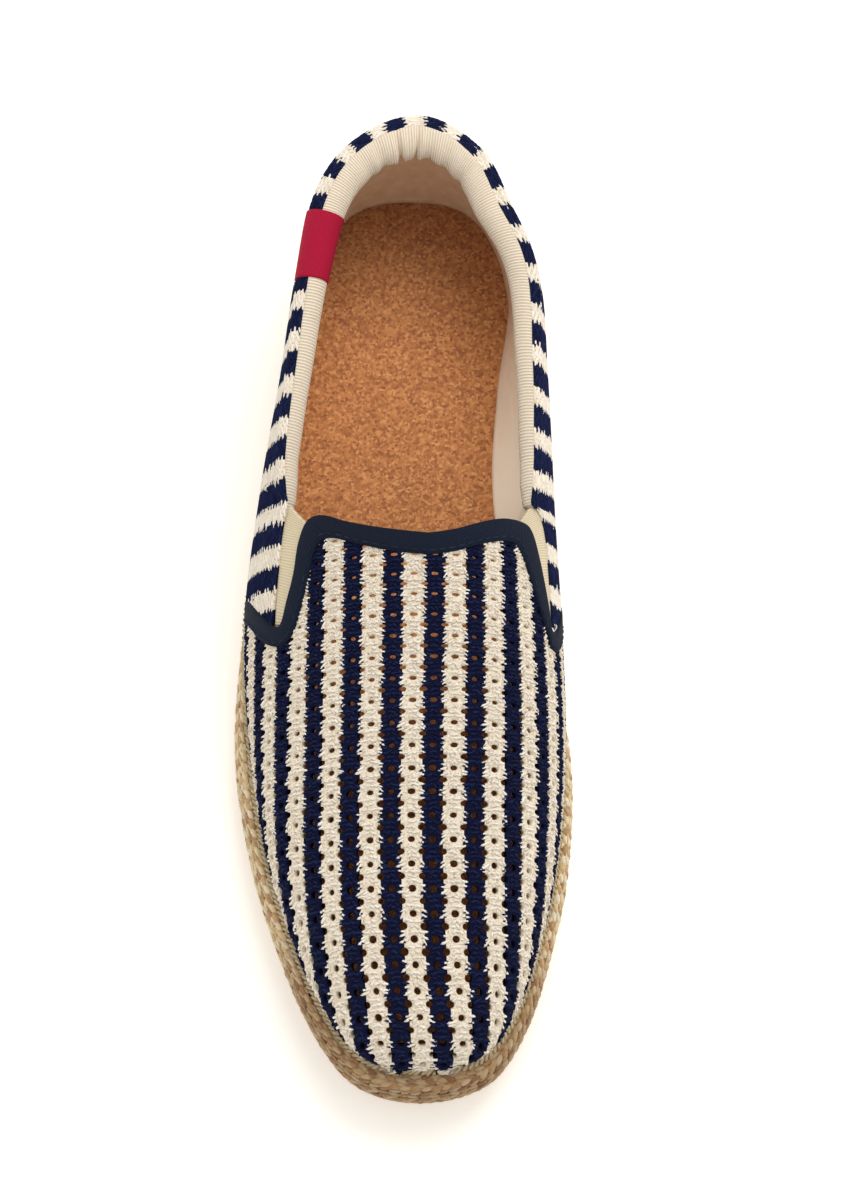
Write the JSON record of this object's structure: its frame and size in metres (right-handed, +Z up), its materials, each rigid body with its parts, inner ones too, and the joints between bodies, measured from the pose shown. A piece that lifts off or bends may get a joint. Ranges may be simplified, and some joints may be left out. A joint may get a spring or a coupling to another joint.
{
  "type": "espadrille",
  "caption": "Low slip-on summer shoe for the right foot: striped openwork knit upper with tape-bound throat and elastic gores on a braided rope sole with a cork insole.",
  "frame": {"origin": "on the floor, under the middle of the shoe's box", "axes": "+Z up, -Y towards the toe, +Y towards the heel, +X towards the inner side of the foot"},
  "size_m": [0.0992, 0.2842, 0.0791],
  "materials": {
    "knit": "matte openwork cotton knit in cream and navy stripes",
    "navy_tape": "matte twill binding tape",
    "elastic": "fine ribbed elastic",
    "cream_band": "fine ribbed padded cotton",
    "red_tab": "plain woven ribbon",
    "cork": "bare granulated cork",
    "jute": "braided jute rope",
    "rubber": "matte natural rubber"
  },
  "bodies": {
    "root": {"outsole": "rubber", "midsole": "jute", "insole": "cork", "upper": "knit", "gore_lateral": "elastic", "gore_medial": "elastic", "vamp_binding": "navy_tape", "collar": "cream_band", "side_tab": "red_tab"}
  },
  "joints": []
}
